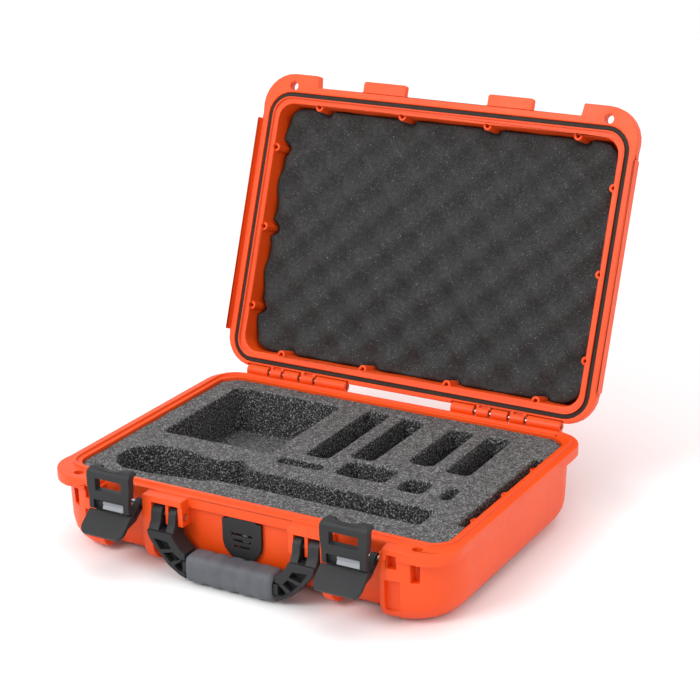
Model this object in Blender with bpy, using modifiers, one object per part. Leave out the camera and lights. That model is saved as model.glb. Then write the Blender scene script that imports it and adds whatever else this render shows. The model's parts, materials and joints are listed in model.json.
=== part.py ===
"""A hard carrying case with a hinged lid, two claw latches, a folding handle and a cut foam insert.

Frame: +Z up, front at -Y, x = 0 in the middle, y = 0 in the middle of the seal, z = 0 at the underside.
Lengths below are in millimetres, and MM turns them into metres where a mesh is made. Heights below are
above a datum that lies UNDERSIDE under the finished underside, and they are lowered by it at the same time.
The lid, levers and claws are shaped in their closed places, and the empties on their axes open them.
"""
import math

import bmesh
import bpy
from mathutils import Matrix, Vector

MM = 0.001
GAP = 0.3
UNDERSIDE = 4.0

# Parting plane, seal and overall heights
RIM_Z = 68.0
LID_FACE_Z = 68.5
LID_TOP_Z = 120.0
SEAL_X, SEAL_Y, SEAL_RADIUS = 171.2, 120.7, 19.0

# Flange outline, shared by both shells
FLANGE_X, FLANGE_FRONT, FLANGE_REAR, FLANGE_RADIUS = 179.0, -129.0, 127.0, 28.0
FLANGE_THICK = 9.0
EAR_START, EAR_FRONT, EAR_CENTRE_X, EAR_CENTRE_Y, EAR_RADIUS = 126.5, -139.5, 151.0, -110.5, 29.0
PADLOCK_X, PADLOCK_Y, PADLOCK_RADIUS = 151.7, -128.6, 4.0

# Base body and its cavity
BODY_X, BODY_FRONT, BODY_REAR, BODY_CORNER, BODY_ROUND = 177.0, -124.5, 124.0, 46.0, 22.0
FOOT_X, FOOT_FRONT, FOOT_REAR, FOOT_HIGH = 137.0, -75.0, 42.0, 5.5
CAVITY_X, CAVITY_Y, CAVITY_RADIUS, CAVITY_FLOOR = 166.0, 114.7, 14.0, 12.5
BLOCK_FRONT = -139.0
BOSS_X, BOSS_TOP = 161.3, 63.0

# Lid body and its cavity
LID_X, LID_FRONT, LID_REAR = 176.0, -122.5, 124.5
LID_CAVITY_X, LID_CAVITY_Y, LID_CAVITY_TOP = 165.0, 114.2, 115.0
LID_CORNER, LID_ROUND, WALL = 40.0, 26.0, 2.6
LID_LIP_Z, LID_BOSS_Z = 70.5, 73.0

# Hinge
HINGE_Y, HINGE_Z = 130.0, 70.5
OPEN_ANGLE = 110.0
KNUCKLE_RADIUS, KNUCKLE_CLEAR = 5.0, 5.5
HINGE_PIN_RADIUS = 2.0
HINGE_GROUP_STARTS = {"left": -153.5, "right": 51.5}
KNUCKLES = ((0.0, 21.3), (23.7, 35.3), (37.7, 52.8), (55.2, 68.3), (70.7, 101.2))

# Latches, given for the middle of one latch
LATCH_X = 104.4
CHANNEL_IN, CHANNEL_OUT = 84.0, 125.0
LEVER_Y, LEVER_Z = -134.0, 56.7
LEVER_OPEN, LEVER_BACK, LEVER_FACE = 50.0, -139.8, -143.4
LEVER_TOP, LEVER_END = 39.8, 18.4
CLAW_ARM, CLAW_LEAN = 11.0, 5.0
CLAW_BACK, CLAW_FACE, CLAW_TIP = -139.6, -146.5, -135.0
CLAW_LOW, CLAW_HOOK, CLAW_TOP, CLAW_ROUND = 48.8, 79.5, 83.5, 6.0
CLAW_HALF = 20.1
SLIDE_LOW, SLIDE_HIGH = 49.9, 56.9

# Handle
HANDLE_Y, HANDLE_Z = -132.6, 52.0
HANDLE_PLANE, HANDLE_FRONT, HANDLE_BACK = -140.0, -147.0, -131.0
MOUNT_IN, MOUNT_OUT = 47.5, 84.0
ARM_IN, ARM_OUT = 52.3, 75.2
GRIP_X, GRIP_LOW, GRIP_HIGH = 40.0, 6.0, 29.0
HANDLE_POCKETS = (((56, 35), (69, 36), (63, 27.5), (53, 30)), ((51.5, 27.5), (60.5, 25), (54, 18.5), (47.5, 23)),
                  ((43, 22), (47.5, 19), (50.5, 16), (46.5, 13), (43, 13)))

# Valve
VALVE_Z = 40.0
VALVE_RADIUS = 7.7

# Foam
FOAM_TOP, FOAM_LOW, POCKET_FLOOR = 66.0, 18.0, 23.0
LID_FOAM_X, LID_FOAM_Y, LID_FOAM_LOW = 158.0, 107.0, 80.0

SIDES = {"left": -1, "right": 1}


def clear_scene():
    for old in list(bpy.data.objects):
        bpy.data.objects.remove(old, do_unlink=True)


def new_collection(name):
    made = bpy.data.collections.new(name)
    bpy.context.scene.collection.children.link(made)
    return made


def material(name, colour, roughness, metallic=0.0):
    made = bpy.data.materials.new(name)
    made.use_nodes = True
    surface = made.node_tree.nodes["Principled BSDF"]
    surface.inputs["Base Color"].default_value = (*colour, 1.0)
    surface.inputs["Roughness"].default_value = roughness
    surface.inputs["Metallic"].default_value = metallic
    return made


def empty(name, place, turn=0.0, parent=None):
    """An empty on a joint's axis; its children are shaped as they are before the turn about X."""
    made = bpy.data.objects.new(name, None)
    PARTS.objects.link(made)
    made.parent = parent
    start = Vector(parent["place"]) if parent else Vector((0, 0, UNDERSIDE))
    made.location = (Vector(place) - start) * MM
    made.rotation_euler.x = math.radians(turn)
    made["place"] = place
    return made


def finish(bm, name, pivot, looks):
    """Links the shape as a part, or as a wire tool where it has no material of its own."""
    start = Vector(pivot["place"]) if pivot else Vector((0, 0, UNDERSIDE))
    bmesh.ops.translate(bm, vec=-start, verts=bm.verts)
    bmesh.ops.scale(bm, vec=(MM, MM, MM), verts=bm.verts)
    bmesh.ops.recalc_face_normals(bm, faces=bm.faces)
    mesh = bpy.data.meshes.new(name)
    bm.to_mesh(mesh)
    bm.free()
    made = bpy.data.objects.new(name, mesh)
    made.parent = pivot
    if looks:
        PARTS.objects.link(made)
        mesh.materials.append(looks)
    else:
        CUTTERS.objects.link(made)
        made.hide_render = True
        made.display_type = "WIRE"
    return made


def level_edges(bm, z):
    return [e for e in bm.edges if all(abs(v.co.z - z) < 0.01 for v in e.verts)]


def bevel(bm, edges, width, steps):
    if width > 0 and edges:
        bmesh.ops.bevel(bm, geom=edges, offset=width, segments=steps, profile=0.5,
                        affect="EDGES", clamp_overlap=True)


def block(name, low, high, pivot=None, looks=None, upright=0.0, foot=0.0, crown=0.0, draft=0.0,
          draft_top=0.0, steps=5, edge_steps=4):
    """A box from a cube: its upright edges, foot edges and crown edges can be rounded."""
    bm = bmesh.new()
    bmesh.ops.create_cube(bm, size=1.0)
    size = Vector(high) - Vector(low)
    middle = (Vector(high) + Vector(low)) / 2
    for v in bm.verts:
        narrow = draft if v.co.z < 0 else draft_top
        v.co = Vector((v.co.x * (size.x - 2 * narrow), v.co.y * (size.y - 2 * narrow), v.co.z * size.z))
        v.co += middle
    bevel(bm, [e for e in bm.edges if abs(e.verts[0].co.z - e.verts[1].co.z) > 0.01], upright, steps)
    bevel(bm, level_edges(bm, low[2]), foot, edge_steps)
    bevel(bm, level_edges(bm, high[2]), crown, edge_steps)
    return finish(bm, name, pivot, looks)


AXIS_TURNS = {"x": Matrix.Rotation(math.radians(90), 4, "Y"), "y": Matrix.Rotation(math.radians(-90), 4, "X"),
              "z": Matrix.Identity(4)}


def cylinder(name, centre, radius, length, axis, pivot=None, looks=None, sides=24, edge=0.0):
    bm = bmesh.new()
    bmesh.ops.create_cone(bm, cap_ends=True, segments=sides, radius1=radius, radius2=radius, depth=length)
    bevel(bm, level_edges(bm, length / 2) + level_edges(bm, -length / 2), edge, 1)
    bmesh.ops.transform(bm, matrix=Matrix.Translation(centre) @ AXIS_TURNS[axis], verts=bm.verts)
    return finish(bm, name, pivot, looks)


def rounded_rectangle(x_low, x_high, y_low, y_high, radius, steps=6):
    corners = ((x_high - radius, y_high - radius, 0), (x_low + radius, y_high - radius, 90),
               (x_low + radius, y_low + radius, 180), (x_high - radius, y_low + radius, 270))
    points = []
    for cx, cy, start in corners:
        points += arc(cx, cy, radius, start, start + 90, steps)
    return points


def arc(cx, cy, radius, start, end, steps):
    """Points along an arc; the angles are in degrees."""
    turn = [math.radians(start + (end - start) * i / steps) for i in range(steps + 1)]
    return [(cx + radius * math.cos(a), cy + radius * math.sin(a)) for a in turn]


def mirrored(half):
    """Closes an outline that is given for x > 0 only."""
    return half + [(-x, y) for x, y in reversed(half)]


def plate(name, outlines, low, high, facing="z", pivot=None, looks=None, foot=0.0, crown=0.0, edge_steps=3):
    """A flat outline, with its holes, as a filled 2D curve made into a mesh between two levels.

    facing is the axis of its thickness. Outlines are (x, y) for z, (x, z) for y and (y, z) for x.
    """
    curve = bpy.data.curves.new(name, "CURVE")
    curve.dimensions = "2D"
    curve.fill_mode = "BOTH"
    curve.extrude = (high - low) / 2
    for outline in outlines:
        spline = curve.splines.new("POLY")
        spline.points.add(len(outline) - 1)
        for point, (u, v) in zip(spline.points, outline):
            point.co = (u, v, 0, 1)
        spline.use_cyclic_u = True
    guide = bpy.data.objects.new(name, curve)
    CUTTERS.objects.link(guide)
    view = bpy.context.evaluated_depsgraph_get()
    filled = bpy.data.meshes.new_from_object(guide.evaluated_get(view))
    bm = bmesh.new()
    bm.from_mesh(filled)
    bpy.data.objects.remove(guide)
    bpy.data.meshes.remove(filled)
    bpy.data.curves.remove(curve)
    bmesh.ops.remove_doubles(bm, verts=bm.verts, dist=0.001)
    if len(outlines) == 1:
        bmesh.ops.dissolve_limit(bm, angle_limit=0.001, verts=bm.verts, edges=bm.edges)
    bmesh.ops.translate(bm, vec=(0, 0, (low + high) / 2), verts=bm.verts)
    bevel(bm, level_edges(bm, low), foot, edge_steps)
    bevel(bm, level_edges(bm, high), crown, edge_steps)
    if facing == "y":
        turn = Matrix(((1, 0, 0, 0), (0, 0, 1, 0), (0, 1, 0, 0), (0, 0, 0, 1)))
    elif facing == "x":
        turn = Matrix(((0, 0, 1, 0), (1, 0, 0, 0), (0, 1, 0, 0), (0, 0, 0, 1)))
    else:
        turn = Matrix.Identity(4)
    bmesh.ops.transform(bm, matrix=turn, verts=bm.verts)
    return finish(bm, name, pivot, looks)


def combine(target, tools, operation):
    for tool in tools:
        step = target.modifiers.new(tool.name, "BOOLEAN")
        step.operation = operation
        step.object = tool


def join(target, *tools):
    combine(target, tools, "UNION")


def cut(target, *tools):
    combine(target, tools, "DIFFERENCE")


def flange_outline(side_x):
    """The plan of either flange: padlock ears at the front corners, round corners at the rear."""
    half = [(EAR_START, FLANGE_FRONT), (EAR_START + 1.5, EAR_FRONT)]
    half += arc(EAR_CENTRE_X, EAR_CENTRE_Y, EAR_RADIUS, 270, 360, 7)
    half += [(side_x, EAR_CENTRE_Y + 8)]
    half += arc(side_x - FLANGE_RADIUS, FLANGE_REAR - FLANGE_RADIUS, FLANGE_RADIUS, 0, 90, 7)
    return mirrored(half)


def seal_ring(name, half_width, low, high, pivot=None, looks=None):
    """A ring that follows the seal's centre line."""
    rings = []
    for grow in (half_width, -half_width):
        x, y = SEAL_X + grow, SEAL_Y + grow
        rings.append(rounded_rectangle(-x, x, -y, y, SEAL_RADIUS + grow, 6))
    return plate(name, rings, low, high, "z", pivot, looks)


def knuckle(name, start, end, radius, pivot=None, looks=None, sides=20):
    place = ((start + end) / 2, HINGE_Y, HINGE_Z)
    return cylinder(name, place, radius, end - start, "x", pivot, looks, sides)


def hinge_tools(pivot, own, low, high):
    """Knuckles with their webs, clearances round the other shell's knuckles, and the bores."""
    solid, hollow = [], []
    for side, begin in HINGE_GROUP_STARTS.items():
        for number, (start, end) in enumerate(KNUCKLES):
            start, end = begin + start, begin + end
            label = f"{'lid' if pivot else 'base'}_{side}_{number}"
            if number % 2 == own:
                solid.append(knuckle(f"knuckle_{label}", start, end, KNUCKLE_RADIUS, pivot))
                solid.append(block(f"web_{label}", (start, 122.0, low), (end, HINGE_Y - 0.2, high), pivot))
            else:
                hollow.append(knuckle(f"clear_{label}", start - 1.2, end + 1.2, KNUCKLE_CLEAR, pivot))
        bore = knuckle(f"bore_{'lid' if pivot else 'base'}_{side}", begin - 2, begin + 104,
                       HINGE_PIN_RADIUS + GAP, pivot, sides=16)
        hollow.append(bore)
    return solid, hollow


# Base shell ----------------------------------------------------------------------------------------

def front_profile(front, low, radius):
    """Side view of a front face with a round bottom edge, closed well inside the body."""
    return [(-105.0, 63.0), (front, 63.0)] + arc(front + radius, low + radius, radius, 180, 270, 5) + [(-105.0, low)]


def inside_of_body(wall):
    """The body's outer form less a wall: a cavity cut to it keeps that wall in the round corners."""
    return block("inside_of_body", (-BODY_X + wall, BLOCK_FRONT + wall, UNDERSIDE + wall),
                 (BODY_X - wall, BODY_REAR - wall, RIM_Z + 14), upright=BODY_CORNER - wall, foot=BODY_ROUND - wall,
                 draft=1.9, steps=7, edge_steps=5)


def inside_of_lid(wall):
    """The same for the lid, begun lower down than the lid's own walls and so a little wider."""
    flare = 1.9
    x, front, rear = LID_X - wall + flare, LID_FRONT + wall - flare, LID_REAR - wall + flare
    return block("inside_of_lid", (-x, front, 60), (x, rear, LID_TOP_Z - wall), LID_PIVOT,
                 upright=LID_CORNER - wall + flare, crown=LID_ROUND - wall, draft_top=8 + flare - 0.4, steps=7, edge_steps=5)


def make_base_shell():
    shell = block("base_shell", (-BODY_X, BLOCK_FRONT, UNDERSIDE), (BODY_X, BODY_REAR, RIM_Z - 4), looks=ORANGE,
                  upright=BODY_CORNER, foot=BODY_ROUND, draft=1.5, steps=7, edge_steps=5)
    middle = [(-170.0, -10.0), (-170.0, RIM_Z), (BODY_FRONT, RIM_Z)]
    middle += arc(BODY_FRONT + BODY_ROUND, UNDERSIDE + BODY_ROUND, BODY_ROUND, 180, 270, 5) + [(-100.0, -10.0)]
    cut(shell, plate("front_space", [middle], -CHANNEL_OUT, CHANNEL_OUT, "x"))
    arch = UNDERSIDE + FOOT_HIGH
    cut(shell, block("arch_across", (-FOOT_X, -200, -10), (FOOT_X, 200, arch)),
        block("arch_along", (-200, FOOT_FRONT, -10), (200, FOOT_REAR, arch)))
    join(shell, block("centre_pad", (-100, -60, UNDERSIDE), (100, 60, arch + 3), upright=14, foot=1.5, steps=3,
                      edge_steps=1))
    join(shell, plate("base_flange", [flange_outline(FLANGE_X)], RIM_Z - FLANGE_THICK, RIM_Z))
    for label, side in SIDES.items():
        make_handle_mount(shell, label, side)
    knuckles, hollows = hinge_tools(None, 0, RIM_Z - 8.5, RIM_Z)
    join(shell, *knuckles)
    cavity = block("cavity", (-CAVITY_X, -CAVITY_Y, CAVITY_FLOOR), (CAVITY_X, CAVITY_Y, RIM_Z + 12),
                   upright=CAVITY_RADIUS, foot=5, steps=5, edge_steps=2)
    combine(cavity, [inside_of_body(WALL)], "INTERSECT")
    cut(shell, cavity, *hollows)
    join(shell, seal_ring("tongue", 1.3, RIM_Z - 3, RIM_Z + 2))
    for label, side in SIDES.items():
        for number, y in enumerate((-54.5, 0.0, 54.5)):
            middle_z = (BOSS_TOP + 35) / 2
            join(shell, cylinder(f"boss_{label}_{number}", (side * (BOSS_X + 1.2), y, middle_z), 4.2, BOSS_TOP - 35, "z",
                                 sides=14))
            cut(shell, cylinder(f"boss_hole_{label}_{number}", (side * BOSS_X, y, BOSS_TOP), 1.5, 20, "z", sides=10))
        cut_front_corner(shell, label, side)
    cut(shell, cylinder("valve_hole", (0, -119.6, VALVE_Z), VALVE_RADIUS + 0.6, 14, "y"))
    for label, side in SIDES.items():
        cut(shell, cylinder(f"cover_peg_hole_{label}", (side * 12.5, BODY_FRONT, 52), 1.9, 8, "y", sides=12))
    return shell


def make_handle_mount(shell, label, side):
    """Two cheeks and a top slab that carry one end of the handle, with a tongue between its prongs."""
    def piece(name, x_in, x_out, low, high, front=BLOCK_FRONT):
        xs = sorted((side * x_in, side * x_out))
        return block(f"{name}_{label}", (xs[0], front, low), (xs[1], -119, high))
    rib = front_profile(BLOCK_FRONT, UNDERSIDE + 3, 20.0)
    xs = sorted((side * 75.5, side * MOUNT_OUT))
    join(shell, piece("mount_top", MOUNT_IN, MOUNT_OUT, 62.0, RIM_Z - 1),
         plate(f"mount_rib_{label}", [rib], xs[0], xs[1], "x"),
         piece("mount_lug", MOUNT_IN, 52.0, 45.0, 63.0, front=-137.5),
         piece("mount_tongue", 61.0, 64.0, 44.0, 63.0, front=-136.5))
    bore = cylinder(f"handle_bore_{label}", (side * 61.5, HANDLE_Y, HANDLE_Z), 2.8, 35.4, "x", sides=16)
    lever_bore = cylinder(f"lever_bore_{label}", (side * LATCH_X, LEVER_Y, LEVER_Z), 2.3, 47, "x", sides=16)
    cut(shell, bore, lever_bore)


def cut_front_corner(shell, label, side):
    """Pocket, padlock hole with room for its shackle below, and a recess in the face of one front corner."""
    pockets = {"high": (131, 139, 52, 63, -130.5), "slit": (148.7, 154.7, 42, RIM_Z - FLANGE_THICK + 0.4, -125.6), "low": (129, 141, 17, 42, -133.0)}
    for name, (x_in, x_out, low, high, back) in pockets.items():
        xs = sorted((side * x_in, side * x_out))
        cut(shell, block(f"corner_{name}_{label}", (xs[0], -150, low), (xs[1], back, high)))
    place = (side * PADLOCK_X, PADLOCK_Y, RIM_Z)
    cut(shell, cylinder(f"padlock_hole_{label}", place, PADLOCK_RADIUS, 22, "z", sides=20))


# Lid -----------------------------------------------------------------------------------------------

def lid_boss_places():
    rows = [(x, y) for y in (-112.2, 112.2) for x in (-124.9, -41.2, 41.2, 124.9)]
    return rows + [(x, y) for x in (-163.3, 163.3) for y in (-72.4, 0.0, 72.4)]


def make_lid_shell():
    lid = block("lid_shell", (-LID_X, LID_FRONT, LID_FACE_Z + 3), (LID_X, LID_REAR, LID_TOP_Z), LID_PIVOT, ORANGE,
                upright=LID_CORNER, crown=LID_ROUND, draft_top=8, steps=7, edge_steps=5)
    join(lid, plate("lid_flange", [flange_outline(FLANGE_X + 0.4)], LID_FACE_Z, LID_FACE_Z + FLANGE_THICK,
                    pivot=LID_PIVOT))
    for label, side in SIDES.items():
        join(lid, *lid_side_pieces(label, side))
    knuckles, hollows = hinge_tools(LID_PIVOT, 1, HINGE_Z, LID_FACE_Z + 9.5)
    join(lid, *knuckles)
    cavity = block("lid_cavity", (-LID_CAVITY_X, -LID_CAVITY_Y, 50), (LID_CAVITY_X, LID_CAVITY_Y, LID_CAVITY_TOP),
                   LID_PIVOT, upright=CAVITY_RADIUS, crown=13.9, draft_top=4, steps=5, edge_steps=3)
    combine(cavity, [inside_of_lid(WALL)], "INTERSECT")
    lip_x, lip_y = SEAL_X - 2.4, SEAL_Y - 2.4
    lip = plate("lid_lip_step", [rounded_rectangle(-lip_x, lip_x, -lip_y, lip_y, SEAL_RADIUS - 2.4)], 60, LID_LIP_Z,
                pivot=LID_PIVOT)
    groove = seal_ring("seal_groove", 2.2, LID_FACE_Z - 4, 74.5, LID_PIVOT)
    cut(lid, cavity, lip, groove, *hollows)
    for number, (x, y) in enumerate(lid_boss_places()):
        join(lid, cylinder(f"lid_boss_{number}", (x, y, (LID_BOSS_Z + 95) / 2), 3.9, 95 - LID_BOSS_Z, "z", LID_PIVOT,
                           sides=16))
        cut(lid, cylinder(f"lid_boss_hole_{number}", (x, y, LID_BOSS_Z), 1.6, 24, "z", LID_PIVOT, sides=12))
    cut_lid_details(lid)
    return lid


def lid_side_pieces(label, side):
    """Overlapping side skirt, catch tab over the handle mount and ledge for the claw, on one side."""
    def piece(name, x_in, x_out, y_low, y_high, low, high, **rounding):
        xs = sorted((side * x_in, side * x_out))
        return block(f"{name}_{label}", (xs[0], y_low, low), (xs[1], y_high, high), LID_PIVOT, **rounding)
    return (piece("lid_side", 170, 181.5, -97, 97, LID_FACE_Z + 0.5, 77, crown=2, edge_steps=1),
            piece("lid_skirt", 179.8, 181.5, -97, 97, 63.5, 72, foot=0.6, edge_steps=1),
            piece("catch_tab", 39.5, 81.5, BLOCK_FRONT, -118, LID_FACE_Z + 0.4, 76.5, upright=2, crown=2, steps=2, edge_steps=1),
            piece("lid_stop_front", 96, 140, -84, -50, 112, LID_TOP_Z + 3, upright=12, steps=3, crown=1, edge_steps=1),
            piece("lid_stop_rear", 96, 140, 50, 84, 112, LID_TOP_Z + 3, upright=12, steps=3, crown=1, edge_steps=1))


def cut_lid_details(lid):
    tools = []
    for label, side in SIDES.items():
        place = (side * PADLOCK_X, PADLOCK_Y, LID_FACE_Z + 4)
        tools.append(cylinder(f"lid_padlock_hole_{label}", place, PADLOCK_RADIUS, 24, "z", LID_PIVOT, sides=20))
    for number, (start, end) in enumerate((s, e) for g in HINGE_GROUP_STARTS.values() for s, e in
                                          ((g + 23.7, g + 35.3), (g + 55.2, g + 68.3))):
        middle = (start + end) / 2
        tools.append(block(f"leaf_recess_{number}", (middle - 4, 124.2, 60), (middle + 4, 126.2, LID_FACE_Z + 2.5),
                           LID_PIVOT))
    for number, y in enumerate((-27.0, 0.0, 27.0)):
        tools.append(block(f"top_groove_{number}", (-118, y - 8, LID_TOP_Z - 1.6), (118, y + 8, LID_TOP_Z + 5), LID_PIVOT,
                           upright=7.5, steps=4))
    cut(lid, *tools)


def make_lid_gasket():
    return seal_ring("lid_gasket", 1.9, 70.4, 74.2, LID_PIVOT, SEAL)


def make_lid_foam():
    return block("lid_foam", (-LID_FOAM_X, -LID_FOAM_Y, LID_FOAM_LOW), (LID_FOAM_X, LID_FOAM_Y, LID_CAVITY_TOP - GAP),
                 LID_PIVOT, DARK_FOAM, upright=30, crown=9, draft_top=2, steps=4, edge_steps=2)


# Foam in the base ----------------------------------------------------------------------------------

def rectangle(x_low, x_high, y_low, y_high):
    return rounded_rectangle(x_low, x_high, y_low, y_high, 4.0, 2)


def microphone_outline():
    """A slot for a hand-held microphone: a straight body that widens to a round head at the left."""
    lower = [(131, -86), (-46, -86), (-60, -92), (-105, -98)]
    head = arc(-122, -73, 27, 255, 100, 7)
    upper = [(-101, -46), (-69, -53), (-53, -42), (-43, -50), (-36, -56), (131, -58)]
    return lower + head + upper


POCKETS = {
    "case_well": [rectangle(-145, -40, -20, 97), POCKET_FLOOR],
    "microphone_well": [microphone_outline(), POCKET_FLOOR + 6],
    "plug_slot": [rectangle(-27, 14, -33, -21), POCKET_FLOOR + 18],
    "block_well": [rectangle(26, 71, -31, -3), POCKET_FLOOR + 14],
    "box_well": [rectangle(84, 107, -36, -13), POCKET_FLOOR + 18],
    "narrow_slot": [rectangle(121, 131, -37, -13), POCKET_FLOOR + 18],
    "pack_well_a": [rectangle(-14, 8, -8, 100), POCKET_FLOOR],
    "pack_well_b": [rectangle(21, 43, 4, 98), POCKET_FLOOR],
    "slim_well_a": [rectangle(68, 90, 16, 95), POCKET_FLOOR + 10],
    "slim_well_b": [rectangle(103, 124, 12, 95), POCKET_FLOOR + 10],
}


def make_foam_insert():
    wall_x, wall_y = CAVITY_X - 0.5, CAVITY_Y - 0.5
    edge_x = 158.5
    outline = [(wall_x, 70.0)]
    outline += arc(wall_x - 13.6, wall_y - 13.6, 13.6, 0, 90, 4) + arc(-wall_x + 13.6, wall_y - 13.6, 13.6, 90, 180, 4)
    outline += arc(-wall_x + 13.6, -wall_y + 13.6, 13.6, 180, 270, 4) + arc(wall_x - 13.6, -wall_y + 13.6, 13.6, 270, 360, 4)
    outline += [(wall_x, -74.0), (edge_x - 2.0, -74.0), (edge_x - 2.0, 70.0)]
    foam = plate("foam_insert", [outline], FOAM_LOW, FOAM_TOP, looks=GREY_FOAM)
    combine(foam, [inside_of_body(WALL + 0.6)], "INTERSECT")
    for name, (pocket, floor) in POCKETS.items():
        cut(foam, plate(name, [pocket], floor, FOAM_TOP + 10))
    for number, y in enumerate((-54.5, 0.0, 54.5)):
        cut(foam, block(f"boss_notch_{number}", (-180, y - 5, 0), (-BOSS_X + 3.8, y + 5, BOSS_TOP + 0.6)))
    return foam


def make_foam_floor_pad():
    x, y = CAVITY_X - 6, CAVITY_Y - 6
    return block("foam_floor_pad", (-x, -y, CAVITY_FLOOR + GAP), (x, y, FOAM_LOW - GAP), looks=DARK_FOAM, upright=18, steps=4)


# Hinge pins ----------------------------------------------------------------------------------------

def make_hinge_pins():
    for side, begin in HINGE_GROUP_STARTS.items():
        knuckle(f"hinge_pin_{side}", begin + 1.5, begin + 99.7, HINGE_PIN_RADIUS, looks=STEEL, sides=20)


# Latches -------------------------------------------------------------------------------------------

def claw_axis():
    lean = math.radians(CLAW_LEAN)
    return LEVER_Y - CLAW_ARM * math.sin(lean), LEVER_Z - CLAW_ARM * math.cos(lean)


def make_latch(label, side):
    middle = side * LATCH_X
    claw_y, claw_z = claw_axis()
    lever_pivot = empty(f"lever_axis_{label}", (middle, LEVER_Y, LEVER_Z), -LEVER_OPEN)
    claw_pivot = empty(f"claw_axis_{label}", (middle, claw_y, claw_z), LEVER_OPEN, lever_pivot)
    make_lever(label, middle, lever_pivot, claw_y, claw_z)
    make_claw(label, middle, claw_pivot, claw_y, claw_z)
    make_slide(label, middle, claw_pivot)
    cylinder(f"lever_pin_{label}", (side * LATCH_X, LEVER_Y, LEVER_Z), 2.0, 46, "x", looks=STEEL, sides=16)
    cylinder(f"claw_pin_{label}", (middle, claw_y, claw_z), 1.6, 31, "x", lever_pivot, STEEL, sides=14)


def make_lever(label, middle, pivot, claw_y, claw_z):
    """Scoop-shaped front plate with two cheeks that reach back to the pin in the base."""
    half = [(19.8, LEVER_TOP), (20.0, LEVER_END + 7)] + arc(12.0, LEVER_END + 7, 8.0, 0, -60, 3) + [(8.0, LEVER_END)]
    outline = [(middle + x, z) for x, z in mirrored(list(reversed(half)))]
    lever = plate(f"latch_lever_{label}", [outline], LEVER_FACE, LEVER_BACK, "y", pivot, CHARCOAL)
    cheek = arc(LEVER_Y, LEVER_Z, 3.7, 0, 180, 8) + [(CLAW_BACK + 1.0, 50.0), (CLAW_BACK + 1.0, LEVER_TOP),
                                                   (LEVER_FACE + 1.5, LEVER_TOP - 1), (LEVER_FACE + 1.5, LEVER_END + 4),
                                                   (-136.5, 31.0), (-131.0, 42.0)]
    for number, (x_in, x_out) in enumerate(((-17.5, -12.0), (12.0, 17.5))):
        join(lever, plate(f"lever_cheek_{label}_{number}", [cheek], middle + x_in, middle + x_out, "x", pivot))
    cut(lever, cylinder(f"lever_hole_{label}", (middle, LEVER_Y, LEVER_Z), 2.3, 50, "x", pivot, sides=16),
        cylinder(f"lever_claw_hole_{label}", (middle, claw_y, claw_z), 1.9, 50, "x", pivot, sides=14))


def make_claw(label, middle, pivot, claw_y, claw_z):
    """Upright plate with a window and a slide slot, two hooks at its top and a hub for the claw pin."""
    hook = [(CLAW_BACK, CLAW_LOW), (CLAW_BACK, CLAW_HOOK - 1.5), (CLAW_BACK + 1.5, CLAW_HOOK), (CLAW_TIP, CLAW_HOOK),
            (CLAW_TIP, CLAW_HOOK + 2.2), (CLAW_TIP - 2, CLAW_TOP)]
    hook += arc(CLAW_FACE + CLAW_ROUND, CLAW_TOP - CLAW_ROUND, CLAW_ROUND, 90, 180, 5)
    hook += [(CLAW_FACE, CLAW_LOW + 1), (CLAW_FACE + 1, CLAW_LOW)]
    claw = plate(f"latch_claw_{label}", [hook], middle - 24, middle + 24, "x", pivot, CHARCOAL)
    narrow = CLAW_HALF - 1.5
    half = [(narrow, CLAW_LOW - 1), (narrow, CLAW_LOW + 9), (CLAW_HALF, CLAW_LOW + 22), (CLAW_HALF, CLAW_TOP - 6)]
    half += arc(CLAW_HALF - 4, CLAW_TOP - 4, 4.0, 0, 90, 3)
    face = [(middle + x, z) for x, z in mirrored(half)]
    combine(claw, [plate(f"claw_outline_{label}", [face], CLAW_FACE - 5, -110, "y", pivot)], "INTERSECT")
    arm = [(CLAW_BACK + 0.6, claw_z), (CLAW_BACK + 0.6, CLAW_LOW + 1.5), (CLAW_BACK - 1, CLAW_LOW + 1.5),
           (CLAW_BACK - 1, 54), (-133.5, 50), (-131.6, claw_z)]
    join(claw, plate(f"claw_arm_{label}", [arm], middle - 11.6, middle + 11.6, "x", pivot),
         cylinder(f"claw_hub_{label}", (middle, claw_y, claw_z), 3.5, 23.2, "x", pivot, sides=20))
    window = block(f"claw_window_{label}", (middle - 12, -150, 65), (middle + 12, -134, 75), pivot)
    notch = cylinder(f"claw_notch_{label}", (middle, -135, CLAW_TOP + 34.5), 36, 40, "y", pivot, sides=64)
    hook_gap = block(f"claw_hook_gap_{label}", (middle - 10.5, CLAW_BACK, CLAW_HOOK - 3),
                     (middle + 10.5, CLAW_TIP + 3, CLAW_TOP + 3), pivot)
    slide_well = block(f"slide_well_{label}", (middle - 14.3, -150, SLIDE_LOW - GAP),
                       (middle + 14.3, CLAW_BACK - 3.2, SLIDE_HIGH + GAP), pivot)
    hole = cylinder(f"claw_hole_{label}", (middle, claw_y, claw_z), 1.9, 40, "x", pivot, sides=14)
    pin_space = block(f"claw_pin_space_{label}", (middle - 24, CLAW_BACK - 0.8, 52.5), (middle + 24, -130, 60.5), pivot)
    cut(claw, window, notch, hook_gap, slide_well, hole, pin_space)
    for number, (x_in, x_out) in enumerate(((-24, -11.8), (11.8, 24))):
        cut(claw, block(f"cheek_space_{label}_{number}", (middle + x_in, CLAW_BACK - 2, CLAW_LOW - 1),
                        (middle + x_out, -130, 61.5), pivot))


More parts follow.
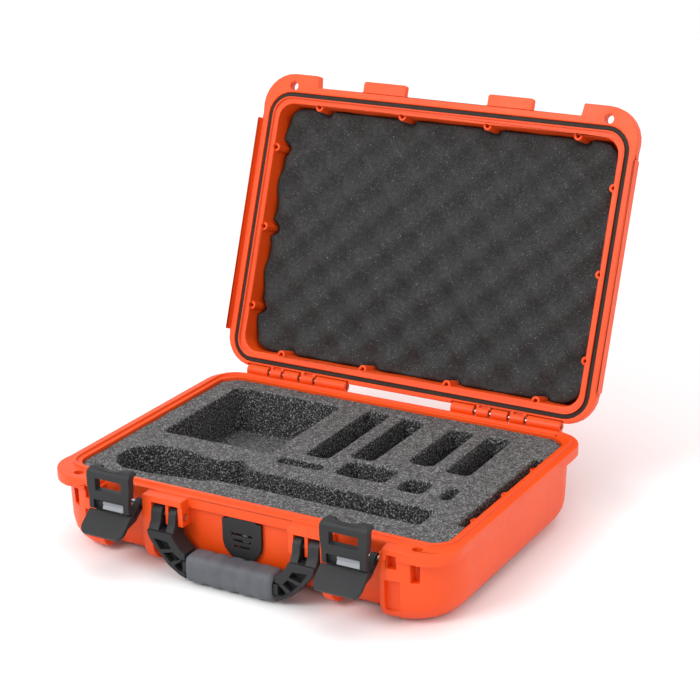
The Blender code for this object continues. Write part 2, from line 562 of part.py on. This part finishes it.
def make_slide(label, middle, pivot):
    """Small block at the right-hand end of its slot, with a finger groove."""
    face = CLAW_FACE - 1.5
    profile = [(CLAW_BACK - 3.5, SLIDE_LOW), (face + 2, SLIDE_LOW), (face, SLIDE_LOW + 1.5), (face + 1.2, SLIDE_LOW + 4.5),
               (face + 0.4, SLIDE_HIGH), (CLAW_BACK - 3.5, SLIDE_HIGH)]
    plate(f"slide_lock_{label}", [profile], middle - 5.0, middle + 14.0, "x", pivot, LIGHT_GREY)


# Handle --------------------------------------------------------------------------------------------

def make_handle(pivot):
    outer = [(ARM_OUT, 42.0), (73.5, 36.0), (70.0, 31.0), (56.0, 15.5), (46.0, 9.5), (40.4, 7.6)]
    core = [(40.4, 12.5), (-40.4, 12.5)]
    inner = [(40.4, 28.0), (45.0, 31.0), (50.0, 37.0), (ARM_IN, 42.0)]
    outline = outer + core + [(-x, z) for x, z in reversed(outer)]
    outline += [(-x, z) for x, z in reversed(inner)] + [(-40.4, 22.5), (40.4, 22.5)] + inner
    frame = plate("handle_frame", [outline], HANDLE_FRONT, HANDLE_BACK, "y", pivot, CHARCOAL)
    for label, side in SIDES.items():
        for number, (x_in, x_out) in enumerate(((ARM_IN, 59.3), (65.8, ARM_OUT))):
            shape = arc(HANDLE_Y, HANDLE_Z, 7.6, 0, 180, 10) + [(-140.8, 48.0), (-143.0, 44.5), (-145.5, 40.0),
                                                             (-135.0, 38.0), (-127.5, 44.0)]
            xs = sorted((side * x_in, side * x_out))
            join(frame, plate(f"prong_{label}_{number}", [shape], xs[0], xs[1], "x", pivot))
        for number, corners in enumerate(HANDLE_POCKETS):
            for face, (low, high) in {"front": (-150, HANDLE_PLANE - 0.5), "back": (HANDLE_PLANE + 2.0, -125)}.items():
                cut(frame, plate(f"handle_pocket_{label}_{number}_{face}", [[(side * x, z) for x, z in corners]], low, high,
                                 "y", pivot))
    cut(frame, cylinder("handle_hole", (0, HANDLE_Y, HANDLE_Z), 2.8, 170, "x", pivot, sides=16))


def make_handle_grip(pivot):
    grip = block("handle_grip", (-GRIP_X, HANDLE_PLANE - 10.5, GRIP_LOW), (GRIP_X, HANDLE_PLANE + 11, GRIP_HIGH), pivot,
                 GRIP_GREY)
    bevel_edges = grip.modifiers.new("rounding", "BEVEL")
    bevel_edges.width = 5.5 * MM
    bevel_edges.segments = 3
    bevel_edges.limit_method = "ANGLE"
    core = block("grip_tunnel", (-60, HANDLE_FRONT - GAP, 12.5 - GAP), (60, HANDLE_BACK + GAP, 22.5 + GAP), pivot)
    cut(grip, core)


def make_handle_pins():
    for label, side in SIDES.items():
        cylinder(f"handle_pin_{label}", (side * 63.0, HANDLE_Y, HANDLE_Z), 2.5, 31.4, "x", looks=STEEL, sides=16)


# Valve ---------------------------------------------------------------------------------------------

def make_valve():
    half = [(12.5, 58.5), (13.0, 56.8), (17.5, 56.8), (17.5, 38.0), (15.8, 32.0), (11.0, 26.6), (5.0, 23.4), (0.0, 22.6)]
    outline = half + [(-x, z) for x, z in reversed(half[:-1])]
    cover = plate("valve_cover", [outline], BODY_FRONT - 3.3, BODY_FRONT - GAP, "y", None, CHARCOAL)
    for label, side in SIDES.items():
        join(cover, cylinder(f"cover_peg_{label}", (side * 12.5, BODY_FRONT, 52), 1.6, 6, "y", sides=12))
    for number in range(3):
        z = VALVE_Z + 5 - 5 * number
        cut(cover, block(f"vent_slot_{number}", (-9 + number, -140, z - 0.9), (9 - number, BODY_FRONT + 1, z + 0.9)))
    cut(cover, cylinder("vent_space", (0, BODY_FRONT, VALVE_Z), 9, 3, "y"))
    body = cylinder("valve_body", (0, -119.7, VALVE_Z), VALVE_RADIUS, 9, "y", looks=CHARCOAL)
    cut(body, cylinder("valve_bore_front", (0, -124.0, VALVE_Z), 4.4, 7, "y"),
        cylinder("valve_bore_back", (0, -119.7, VALVE_Z), 3.2, 20, "y"))
    groove = seal_torus("valve_groove", 7.7, 1.5)
    cut(body, groove)
    seal_torus("valve_o_ring", 7.1, 0.9, SEAL)
    cylinder("valve_membrane", (0, -121.4, VALVE_Z), 4.0, 0.8, "y", looks=PALE)


def seal_torus(name, major, minor, looks=None):
    """A ring about the valve's axis, turned from a small circle."""
    bm = bmesh.new()
    around = 24
    bmesh.ops.create_circle(bm, segments=8, radius=minor)
    turn = Matrix.Translation((major, -118.5, VALVE_Z))
    bmesh.ops.transform(bm, matrix=turn, verts=bm.verts)
    ring = bmesh.ops.spin(bm, geom=list(bm.edges), cent=(0, -118.5, VALVE_Z), axis=(0, 1, 0), angle=2 * math.pi,
                          steps=around, use_merge=True)
    bmesh.ops.remove_doubles(bm, verts=bm.verts, dist=0.001)
    return finish(bm, name, None, looks)


clear_scene()
PARTS = new_collection("carrying_case")
CUTTERS = new_collection("cutters")
ORANGE = material("orange_shell", (0.80, 0.10, 0.012), 0.42)
CHARCOAL = material("charcoal_plastic", (0.045, 0.047, 0.052), 0.5)
GRIP_GREY = material("grip_grey", (0.13, 0.14, 0.15), 0.6)
LIGHT_GREY = material("light_grey_plastic", (0.45, 0.46, 0.48), 0.45)
SEAL = material("seal_rubber", (0.02, 0.017, 0.015), 0.7)
GREY_FOAM = material("grey_foam", (0.13, 0.135, 0.14), 0.95)
DARK_FOAM = material("dark_foam", (0.04, 0.042, 0.045), 0.95)
STEEL = material("pin_steel", (0.6, 0.6, 0.6), 0.3, 1.0)
PALE = material("membrane", (0.7, 0.7, 0.7), 0.6)
LID_PIVOT = empty("lid_axis", (0, HINGE_Y, HINGE_Z), -OPEN_ANGLE)
HANDLE_PIVOT = empty("handle_axis", (0, HANDLE_Y, HANDLE_Z))

make_base_shell()
make_lid_shell()
make_lid_gasket()
make_lid_foam()
make_foam_insert()
make_foam_floor_pad()
make_hinge_pins()
for latch_label, latch_side in SIDES.items():
    make_latch(latch_label, latch_side)
make_handle(HANDLE_PIVOT)
make_handle_grip(HANDLE_PIVOT)
make_handle_pins()
make_valve()
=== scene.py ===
import json
import math

import bmesh
import bpy
from mathutils import Matrix, Vector, noise


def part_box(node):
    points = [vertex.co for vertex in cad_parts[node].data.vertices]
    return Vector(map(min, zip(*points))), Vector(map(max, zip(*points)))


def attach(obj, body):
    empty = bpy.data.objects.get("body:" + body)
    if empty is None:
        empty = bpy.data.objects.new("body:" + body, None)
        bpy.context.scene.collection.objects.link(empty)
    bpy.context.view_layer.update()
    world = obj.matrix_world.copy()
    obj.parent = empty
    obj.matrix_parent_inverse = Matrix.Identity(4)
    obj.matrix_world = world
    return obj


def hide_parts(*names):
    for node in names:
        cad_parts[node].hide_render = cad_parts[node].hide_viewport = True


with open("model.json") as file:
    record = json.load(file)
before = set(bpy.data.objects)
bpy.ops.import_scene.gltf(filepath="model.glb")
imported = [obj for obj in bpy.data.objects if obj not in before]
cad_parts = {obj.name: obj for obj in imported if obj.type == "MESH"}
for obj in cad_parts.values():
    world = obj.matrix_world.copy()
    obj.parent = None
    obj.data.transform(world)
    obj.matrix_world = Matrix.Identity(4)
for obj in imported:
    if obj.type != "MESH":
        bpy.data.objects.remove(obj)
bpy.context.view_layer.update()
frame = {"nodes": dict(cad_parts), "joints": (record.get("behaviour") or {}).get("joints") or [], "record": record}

MM = 0.001
NODES = frame["nodes"]
JOINTS = {joint["name"]: joint for joint in frame["joints"]}
BODIES = frame["record"]["behaviour"]["bodies"]
BODY_OF = {node: body for body, members in BODIES.items() for node in members}

# Hard pieces: within what angle a face is cleared as flat, and from what angle an edge is sharp, in degrees
FLAT_ANGLE, SHARP_ANGLE = 1.0, 28.0
ROUNDING_STEPS = 2

# Lid: the shapes below are worked out with the lid shut, then turned open about the hinge
LID_HINGE = Vector(JOINTS["lid_hinge"]["pos_m"])
LID_TURN = math.radians(-JOINTS["lid_hinge"]["range_deg"][1])
TURN_ABOUT_X = Matrix.Rotation(LID_TURN, 4, "X")
OPEN_LID = Matrix.Translation(LID_HINGE) @ TURN_ABOUT_X @ Matrix.Translation(-LID_HINGE)

# Egg-crate foam in the lid, in millimetres
CRATE_HALF_X, CRATE_HALF_Y, CRATE_CORNER = 161.6, 110.9, 20.0
CRATE_CREST, CRATE_TROUGH, CRATE_BACK = 76.5, 87.5, 106.5
CRATE_STEP = 2.2
CRATE_PITCH_X, CRATE_PITCH_Y = 21.2, 20.4
CRATE_FULLNESS = 0.85  # below 1 the crests and troughs are broader than a plain wave
CRATE_EDGE_RINGS = ((2.0, 0.35), (6.0, 0.7), (13.0, 1.0))  # inset, and share of the way from face to back

# Screw bosses that press into the lid foam, in millimetres
LID_BOSS_X, LID_BOSS_Y, LID_BOSS_RADIUS = (124.9, 41.2), (72.4, 0.0), 4.6
LID_BOSS_EDGE_X, LID_BOSS_EDGE_Y = 163.3, 112.2
LID_BOSS_ROOT = 91.5
LID_BOSS_REACH = 3.0  # how far round a boss the foam is dented

# Grip, in metres
GRIP_GROOVE_PITCH, GRIP_GROOVE_DEPTH = 13.5 * MM, 0.9 * MM
GRIP_PLAIN_END, GRIP_FADE = 5 * MM, 4 * MM

# Voronoi cells per metre in the cut foam
BEAD_CELLS = 430.0


# Materials ------------------------------------------------------------------------------------------

class Nodes:
    """A material under construction: a Principled shader and the nodes that feed it."""

    def __init__(self, name, roughness, **sockets):
        self.material = bpy.data.materials.new(name)
        self.material.use_nodes = True
        self.tree = self.material.node_tree
        self.tree.nodes.clear()
        output = self.tree.nodes.new("ShaderNodeOutputMaterial")
        self.shader = self.tree.nodes.new("ShaderNodeBsdfPrincipled")
        self.tree.links.new(self.shader.outputs["BSDF"], output.inputs["Surface"])
        self.shader.inputs["Roughness"].default_value = roughness
        for socket, value in sockets.items():
            self.shader.inputs[socket.replace("_", " ")].default_value = value
        self.coords = self.tree.nodes.new("ShaderNodeTexCoord").outputs["Object"]

    def link(self, source, target):
        self.tree.links.new(source, target)

    def noise(self, scale, detail=2.0, rough=0.5):
        node = self.tree.nodes.new("ShaderNodeTexNoise")
        node.inputs["Scale"].default_value = scale
        node.inputs["Detail"].default_value = detail
        node.inputs["Roughness"].default_value = rough
        self.link(self.coords, node.inputs["Vector"])
        return node.outputs["Fac"]

    def cells(self, scale, feature="F1"):
        node = self.tree.nodes.new("ShaderNodeTexVoronoi")
        node.feature = feature
        node.inputs["Scale"].default_value = scale
        self.link(self.coords, node.inputs["Vector"])
        return node.outputs["Distance"]

    def ramp(self, source, stops):
        node = self.tree.nodes.new("ShaderNodeValToRGB")
        ramp = node.color_ramp
        while len(ramp.elements) < len(stops):
            ramp.elements.new(0.5)
        for element, (place, colour) in zip(ramp.elements, stops):
            element.position = place
            rgb = colour if isinstance(colour, tuple) else (colour, colour, colour)
            element.color = (*rgb, 1.0)
        self.link(source, node.inputs["Fac"])
        return node.outputs["Color"]

    def blend(self, amount, a, b, mode="MIX"):
        node = self.tree.nodes.new("ShaderNodeMix")
        node.data_type = "RGBA"
        node.blend_type = mode
        for socket, value in ((node.inputs[0], amount), (node.inputs[6], a), (node.inputs[7], b)):
            if isinstance(value, bpy.types.NodeSocket):
                self.link(value, socket)
            else:
                socket.default_value = value
        return node.outputs[2]

    def upward(self):
        """0 on upright faces and 1 on faces that look up, from the surface's own direction."""
        geometry = self.tree.nodes.new("ShaderNodeNewGeometry")
        parts = self.tree.nodes.new("ShaderNodeSeparateXYZ")
        self.link(geometry.outputs["True Normal"], parts.inputs["Vector"])
        edge = self.tree.nodes.new("ShaderNodeMapRange")
        edge.inputs["From Min"].default_value = 0.35
        edge.inputs["From Max"].default_value = 0.75
        self.link(parts.outputs["Z"], edge.inputs["Value"])
        return edge.outputs["Result"]

    def colour(self, source):
        self.link(source, self.shader.inputs["Base Color"])

    def roughness(self, source, low, high):
        node = self.tree.nodes.new("ShaderNodeMapRange")
        node.inputs["To Min"].default_value = low
        node.inputs["To Max"].default_value = high
        self.link(source, node.inputs["Value"])
        self.link(node.outputs["Result"], self.shader.inputs["Roughness"])

    def bumps(self, *layers):
        """Each layer is (height, strength, depth in metres); a later layer lies over the ones before it."""
        below = None
        for height, strength, depth in layers:
            node = self.tree.nodes.new("ShaderNodeBump")
            node.inputs["Strength"].default_value = strength
            node.inputs["Distance"].default_value = depth
            self.link(height, node.inputs["Height"])
            if below is not None:
                self.link(below, node.inputs["Normal"])
            below = node.outputs["Normal"]
        self.link(below, self.shader.inputs["Normal"])


def moulded_plastic(name, dark, light, roughness, grain=1500.0, depth=0.00006, **sockets):
    """Satin moulded plastic: slow shifts of tone, and a fine mould grain that also breaks up the gloss."""
    m = Nodes(name, roughness, **sockets)
    m.colour(m.ramp(m.noise(14.0, 3.0), ((0.3, dark), (0.7, light))))
    m.roughness(m.noise(90.0, 4.0), roughness - 0.06, roughness + 0.07)
    m.bumps((m.noise(40.0, 2.0), 0.12, 0.0003), (m.noise(grain, 3.0, 0.6), 0.45, depth))
    return m.material


def rubber(name, dark, light, roughness):
    m = Nodes(name, roughness, Specular_IOR_Level=0.35)
    m.colour(m.ramp(m.noise(60.0, 5.0), ((0.3, dark), (0.72, light))))
    m.roughness(m.noise(300.0, 3.0), roughness - 0.05, roughness + 0.08)
    m.bumps((m.noise(900.0, 3.0, 0.7), 0.6, 0.0001))
    return m.material


def cut_bead_foam(name):
    """Sawn polyethylene foam: pale cut cell walls over dark cells; the pocket walls are painted darker as shade,
    with painted glint specks.
    """
    m = Nodes(name, 0.86, Specular_IOR_Level=0.3)
    edges = m.cells(BEAD_CELLS, feature="DISTANCE_TO_EDGE")
    walls = m.ramp(edges, ((0.0, 0.17), (0.14, 0.055), (0.4, 0.016)))
    tone = m.ramp(m.noise(330.0, 4.0, 0.75), ((0.40, 0.006), (0.5, 0.055), (0.62, 0.19)))
    specks = m.ramp(m.noise(800.0, 2.0, 0.8), ((0.58, 0.0), (0.66, 0.30)))
    top = m.blend(1.0, m.blend(0.5, walls, tone), specks, "ADD")
    # Painted shade and painted glint specks: upright faces (the pocket walls) get this darker colour with bright
    # specks; upward faces get the cut-cell colour
    painted_wall_shade_and_glints = m.ramp(m.noise(620.0, 2.0, 0.9), ((0.44, 0.012), (0.54, 0.045), (0.66, 0.34)))
    m.colour(m.blend(m.upward(), painted_wall_shade_and_glints, top))
    m.roughness(m.noise(700.0, 2.0), 0.6, 1.0)
    m.bumps((m.noise(170.0, 3.0), 0.4, 0.0010), (m.cells(BEAD_CELLS), 0.9, 0.0012))
    return m.material


def open_cell_foam(name):
    """Dark open-cell foam: soft and even, with painted highlights on single threads."""
    m = Nodes(name, 0.93, Specular_IOR_Level=0.25)
    tone = m.ramp(m.noise(260.0, 6.0, 0.75), ((0.3, 0.024), (0.7, 0.052)))
    # Painted highlights: bright specks added to the colour where single threads would catch the light
    painted_thread_highlights = m.ramp(m.noise(1050.0, 2.0, 0.9), ((0.665, 0.0), (0.72, 0.5)))
    m.colour(m.blend(1.0, tone, painted_thread_highlights, "ADD"))
    m.bumps((m.noise(60.0, 3.0), 0.3, 0.0012), (m.noise(750.0, 4.0, 0.8), 0.9, 0.0008))
    return m.material


def steel(name):
    m = Nodes(name, 0.3, Metallic=1.0)
    m.colour(m.ramp(m.noise(200.0, 2.0), ((0.3, 0.50), (0.7, 0.64))))
    m.roughness(m.noise(600.0, 2.0), 0.22, 0.4)
    m.bumps((m.noise(1500.0, 2.0), 0.2, 0.00003))
    return m.material


MATERIALS = {
    "shell": moulded_plastic("orange_shell", (0.74, 0.060, 0.0015), (0.81, 0.072, 0.003), 0.45,
                             Specular_IOR_Level=0.38),
    "charcoal": moulded_plastic("charcoal_plastic", (0.0115, 0.0120, 0.0130), (0.017, 0.0175, 0.019),
                                0.54, 2200.0, 0.00009, Specular_IOR_Level=0.35),
    "grip": rubber("grip_grey_rubber", (0.075, 0.080, 0.092), (0.100, 0.106, 0.120), 0.60),
    "light_grey": moulded_plastic("slide_grey_plastic", (0.20, 0.21, 0.225), (0.25, 0.26, 0.275), 0.48),
    "seal": rubber("seal_rubber", (0.018, 0.010, 0.007), (0.030, 0.018, 0.013), 0.66),
    "insert_foam": cut_bead_foam("insert_bead_foam"),
    "lid_foam": open_cell_foam("lid_open_cell_foam"),
    "steel": steel("pin_steel"),
    "membrane": moulded_plastic("vent_membrane", (0.60, 0.60, 0.58), (0.68, 0.68, 0.66), 0.7),
}
SLOT_OF = {part["node"]: part["material_slot"] for part in frame["record"]["subparts"]}


# Meshes ---------------------------------------------------------------------------------------------

def set_material(thing, material):
    thing.data.materials.clear()
    thing.data.materials.append(material)
    for polygon in thing.data.polygons:
        polygon.material_index = 0


def new_piece(name, bm, slot, body, *nodes):
    """Makes an object from the mesh bm, in the finish of a slot, on a body, in place of the CAD nodes."""
    mesh = bpy.data.meshes.new(name)
    bm.to_mesh(mesh)
    bm.free()
    piece = bpy.data.objects.new(name, mesh)
    bpy.context.scene.collection.objects.link(piece)
    set_material(piece, MATERIALS[slot])
    for polygon in mesh.polygons:
        polygon.use_smooth = True
    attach(piece, body)
    if nodes:
        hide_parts(*nodes)
    return piece


def cad_copy(node):
    """The CAD solid's shape with stray points taken out of its flat faces."""
    bm = bmesh.new()
    bm.from_mesh(NODES[node].data)
    bmesh.ops.remove_doubles(bm, verts=bm.verts, dist=0.004 * MM)
    flat = math.radians(FLAT_ANGLE)
    bmesh.ops.dissolve_limit(bm, angle_limit=flat, verts=bm.verts, edges=bm.edges)
    bmesh.ops.triangulate(bm, faces=bm.faces, quad_method="BEAUTY", ngon_method="EAR_CLIP")
    return bm


def apply_modifiers(thing):
    graph = bpy.context.evaluated_depsgraph_get()
    graph.update()
    mesh = bpy.data.meshes.new_from_object(thing.evaluated_get(graph), depsgraph=graph)
    thing.modifiers.clear()
    thing.data = mesh


def soften(node, width):
    """A copy of a hard CAD piece with the small rounding of a moulding on its sharp edges."""
    piece = new_piece(f"{node}_moulded", cad_copy(node), SLOT_OF[node], BODY_OF[node], node)
    edges = piece.modifiers.new("rounding", "BEVEL")
    edges.width = width * MM
    edges.segments = ROUNDING_STEPS
    edges.limit_method = "ANGLE"
    edges.angle_limit = math.radians(SHARP_ANGLE)
    edges.use_clamp_overlap = False
    shading = piece.modifiers.new("flat_faces", "WEIGHTED_NORMAL")
    shading.mode = "FACE_AREA"
    shading.weight = 90
    apply_modifiers(piece)


def remeshed(node, voxel):
    """The CAD solid as an even fine mesh, ready to be worked in code."""
    bm = cad_copy(node)
    mesh = bpy.data.meshes.new(f"{node}_work")
    bm.to_mesh(mesh)
    bm.free()
    work = bpy.data.objects.new(f"{node}_work", mesh)
    bpy.context.scene.collection.objects.link(work)
    modifier = work.modifiers.new("even", "REMESH")
    modifier.mode = "VOXEL"
    modifier.voxel_size = voxel * MM
    apply_modifiers(work)
    bm = bmesh.new()
    bm.from_mesh(work.data)
    bpy.data.objects.remove(work)
    return bm


def roughen(bm, size, depth, low, high):
    """Moves each point along its normal by up to depth, in a pattern of the given size, inside a box."""
    bm.normal_update()
    places = [v.co + v.normal * depth * MM * noise.noise(v.co / (size * MM)) for v in bm.verts]
    for v, place in zip(bm.verts, places):
        v.co = Vector(min(max(place[i], low[i]), high[i]) for i in range(3))


# Foam -----------------------------------------------------------------------------------------------

def make_insert():
    """The bead foam block: pocket rims worn slightly round, sawn faces not quite flat."""
    bm = remeshed("foam_insert", 1.6)
    low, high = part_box("foam_insert")
    bmesh.ops.smooth_vert(bm, verts=bm.verts, factor=0.25, use_axis_x=True, use_axis_y=True, use_axis_z=True)
    roughen(bm, 4.0, 0.35, low, high)
    roughen(bm, 22.0, 0.5, low, high)
    piece = new_piece("insert_block", bm, "insert_foam", "base", "foam_insert")


def make_floor_pad():
    bm = remeshed("foam_floor_pad", 1.8)
    low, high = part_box("foam_floor_pad")
    roughen(bm, 9.0, 0.3, low, high)
    piece = new_piece("floor_pad", bm, "lid_foam", "base", "foam_floor_pad")


def crate_outline(u, v):
    """Turns a point of a rectangle into one of the same rectangle with round corners."""
    centre_x, centre_y = CRATE_HALF_X - CRATE_CORNER, CRATE_HALF_Y - CRATE_CORNER
    over_x, over_y = abs(u) - centre_x, abs(v) - centre_y
    if over_x <= 0 or over_y <= 0:
        return u, v
    scale = max(over_x, over_y) / math.hypot(over_x, over_y)
    return math.copysign(centre_x + over_x * scale, u), math.copysign(centre_y + over_y * scale, v)


def lid_bosses():
    """Where the screw bosses stand along the four walls of the lid."""
    signs = [(sx, sy) for sx in (-1, 1) for sy in (-1, 1)]
    front_and_rear = [(sx * x, sy * LID_BOSS_EDGE_Y) for x in LID_BOSS_X for sx, sy in signs]
    return front_and_rear + [(sx * LID_BOSS_EDGE_X, sy * y) for y in LID_BOSS_Y for sx, sy in signs]


def crate_depth(x, y, bosses):
    """Height of the foam's face: round crests in staggered rows, dented where a boss presses into it."""
    wave = math.cos(math.pi * x / CRATE_PITCH_X) * math.cos(math.pi * y / CRATE_PITCH_Y)
    wave = math.copysign(abs(wave) ** CRATE_FULLNESS, wave)
    middle, swing = (CRATE_TROUGH + CRATE_CREST) / 2, (CRATE_TROUGH - CRATE_CREST) / 2
    place = Vector((x, y, 0.0))
    height = middle - swing * wave + 0.9 * noise.noise(place / 17.0) + 0.35 * noise.noise(place / 4.0)
    near = min(math.hypot(x - bx, y - by) for bx, by in bosses)
    if near < LID_BOSS_RADIUS + LID_BOSS_REACH:
        pressed = min(1.0, (LID_BOSS_RADIUS + LID_BOSS_REACH - near) / LID_BOSS_REACH)
        height = max(height, height + (LID_BOSS_ROOT - height) * pressed)
    return max(height, CRATE_CREST - 0.4)


def make_lid_crate():
    """The egg-crate foam: a grid for its face, and rings that turn its edge down to a flat back."""
    bm = bmesh.new()
    columns, rows = round(2 * CRATE_HALF_X / CRATE_STEP), round(2 * CRATE_HALF_Y / CRATE_STEP)
    bosses = lid_bosses()
    grid = []
    for i in range(columns + 1):
        line = []
        for j in range(rows + 1):
            x, y = crate_outline(-CRATE_HALF_X + 2 * CRATE_HALF_X * i / columns,
                                 -CRATE_HALF_Y + 2 * CRATE_HALF_Y * j / rows)
            line.append(bm.verts.new((x, y, crate_depth(x, y, bosses))))
        grid.append(line)
    for i in range(columns):
        for j in range(rows):
            bm.faces.new((grid[i][j], grid[i][j + 1], grid[i + 1][j + 1], grid[i + 1][j]))
    edge = [grid[i][0] for i in range(columns)] + [grid[columns][j] for j in range(rows)]
    edge += [grid[i][rows] for i in range(columns, 0, -1)] + [grid[0][j] for j in range(rows, 0, -1)]
    ring = edge
    for inset, share in CRATE_EDGE_RINGS:
        shrink_x, shrink_y = 1 - inset / CRATE_HALF_X, 1 - inset / CRATE_HALF_Y
        outer = ring
        ring = [bm.verts.new((v.co.x * shrink_x, v.co.y * shrink_y,
                              v.co.z + (CRATE_BACK - v.co.z) * share)) for v in edge]
        for k in range(len(ring)):
            n = (k + 1) % len(ring)
            bm.faces.new((outer[k], outer[n], ring[n], ring[k]))
    bm.faces.new(ring)
    bmesh.ops.recalc_face_normals(bm, faces=bm.faces)
    bmesh.ops.transform(bm, matrix=OPEN_LID @ Matrix.Scale(MM, 4), verts=bm.verts)
    piece = new_piece("lid_egg_crate", bm, "lid_foam", "lid", "lid_foam")


# Grip -----------------------------------------------------------------------------------------------

def make_grip():
    """The soft grip, with shallow grooves round it that leave finger ridges between them."""
    bm = remeshed("handle_grip", 1.1)
    low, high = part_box("handle_grip")
    bmesh.ops.smooth_vert(bm, verts=bm.verts, factor=0.5, use_axis_x=True, use_axis_y=True, use_axis_z=True)
    bm.normal_update()
    half = (high.x - low.x) / 2
    for v in bm.verts:
        fade = min(1.0, max(0.0, (half - GRIP_PLAIN_END - abs(v.co.x)) / GRIP_FADE))
        outward = 1.0 - abs(v.normal.x)
        groove = (0.5 - 0.5 * math.cos(2 * math.pi * v.co.x / GRIP_GROOVE_PITCH)) ** 3
        v.co -= v.normal * GRIP_GROOVE_DEPTH * fade * outward * groove
    new_piece("grip_cover", bm, "grip", "handle", "handle_grip")


# Stage ----------------------------------------------------------------------------------------------

FLOOR_HALF = 30.0
SKY_STRENGTH = 1.08
LIGHT_TARGET = (0, 0, 0.1)


def make_stage():
    """A pale floor and an even white sky."""
    bm = bmesh.new()
    bmesh.ops.create_grid(bm, x_segments=1, y_segments=1, size=FLOOR_HALF)
    mesh = bpy.data.meshes.new("floor")
    bm.to_mesh(mesh)
    bm.free()
    floor = bpy.data.objects.new("floor", mesh)
    bpy.context.scene.collection.objects.link(floor)
    pale = Nodes("pale_floor", 0.75, Specular_IOR_Level=0.2)
    pale.shader.inputs["Base Color"].default_value = (0.88, 0.88, 0.885, 1.0)
    set_material(floor, pale.material)
    world = bpy.data.worlds.new("studio")
    world.use_nodes = True
    sky = world.node_tree.nodes["Background"]
    sky.inputs["Color"].default_value = (1.0, 1.0, 1.0, 1.0)
    sky.inputs["Strength"].default_value = SKY_STRENGTH
    bpy.context.scene.world = world


def add_light(name, place, size, power):
    """A round soft box that faces the case."""
    light = bpy.data.lights.new(name, "AREA")
    light.shape = "DISK"
    light.size = size
    light.energy = power
    lamp = bpy.data.objects.new(name, light)
    lamp.location = place
    lamp.rotation_euler = (Vector(LIGHT_TARGET) - Vector(place)).to_track_quat("-Z", "Y").to_euler()
    bpy.context.scene.collection.objects.link(lamp)


def add_camera():
    data = bpy.data.cameras.new("camera")
    data.sensor_width = 36.0
    data.lens = 98.46
    data.shift_x, data.shift_y = -0.0014, 0.0071
    data.clip_end = 100.0
    camera = bpy.data.objects.new("camera", data)
    camera.location = (0.7288, -1.2436, 0.6651)
    camera.rotation_euler = [math.radians(a) for a in (70.212, 0.707, 29.224)]
    bpy.context.scene.collection.objects.link(camera)
    bpy.context.scene.camera = camera


# Build ----------------------------------------------------------------------------------------------

# Radius of the rounding on each hard piece's sharp edges, in millimetres
ROUNDING = {
    "base_shell": 0.7, "lid_shell": 0.7, "handle_frame": 0.6, "valve_cover": 0.45,
    "latch_claw_left": 0.6, "latch_claw_right": 0.6, "latch_lever_left": 0.6, "latch_lever_right": 0.6,
    "slide_lock_left": 0.4, "slide_lock_right": 0.4,
}
for cad_node, rounding in ROUNDING.items():
    soften(cad_node, rounding)
make_insert()
make_floor_pad()
make_lid_crate()
make_grip()
for cad_node, thing in NODES.items():
    set_material(thing, MATERIALS[SLOT_OF[cad_node]])
make_stage()
add_light("key_softbox", (-0.7, -1.9, 1.7), 1.1, 30)
add_light("top_softbox", (0.1, 0.2, 2.4), 1.6, 9)
add_light("fill_softbox", (1.9, -0.3, 1.0), 1.4, 1.5)
add_camera()
bpy.context.scene.view_settings.view_transform = "Standard"
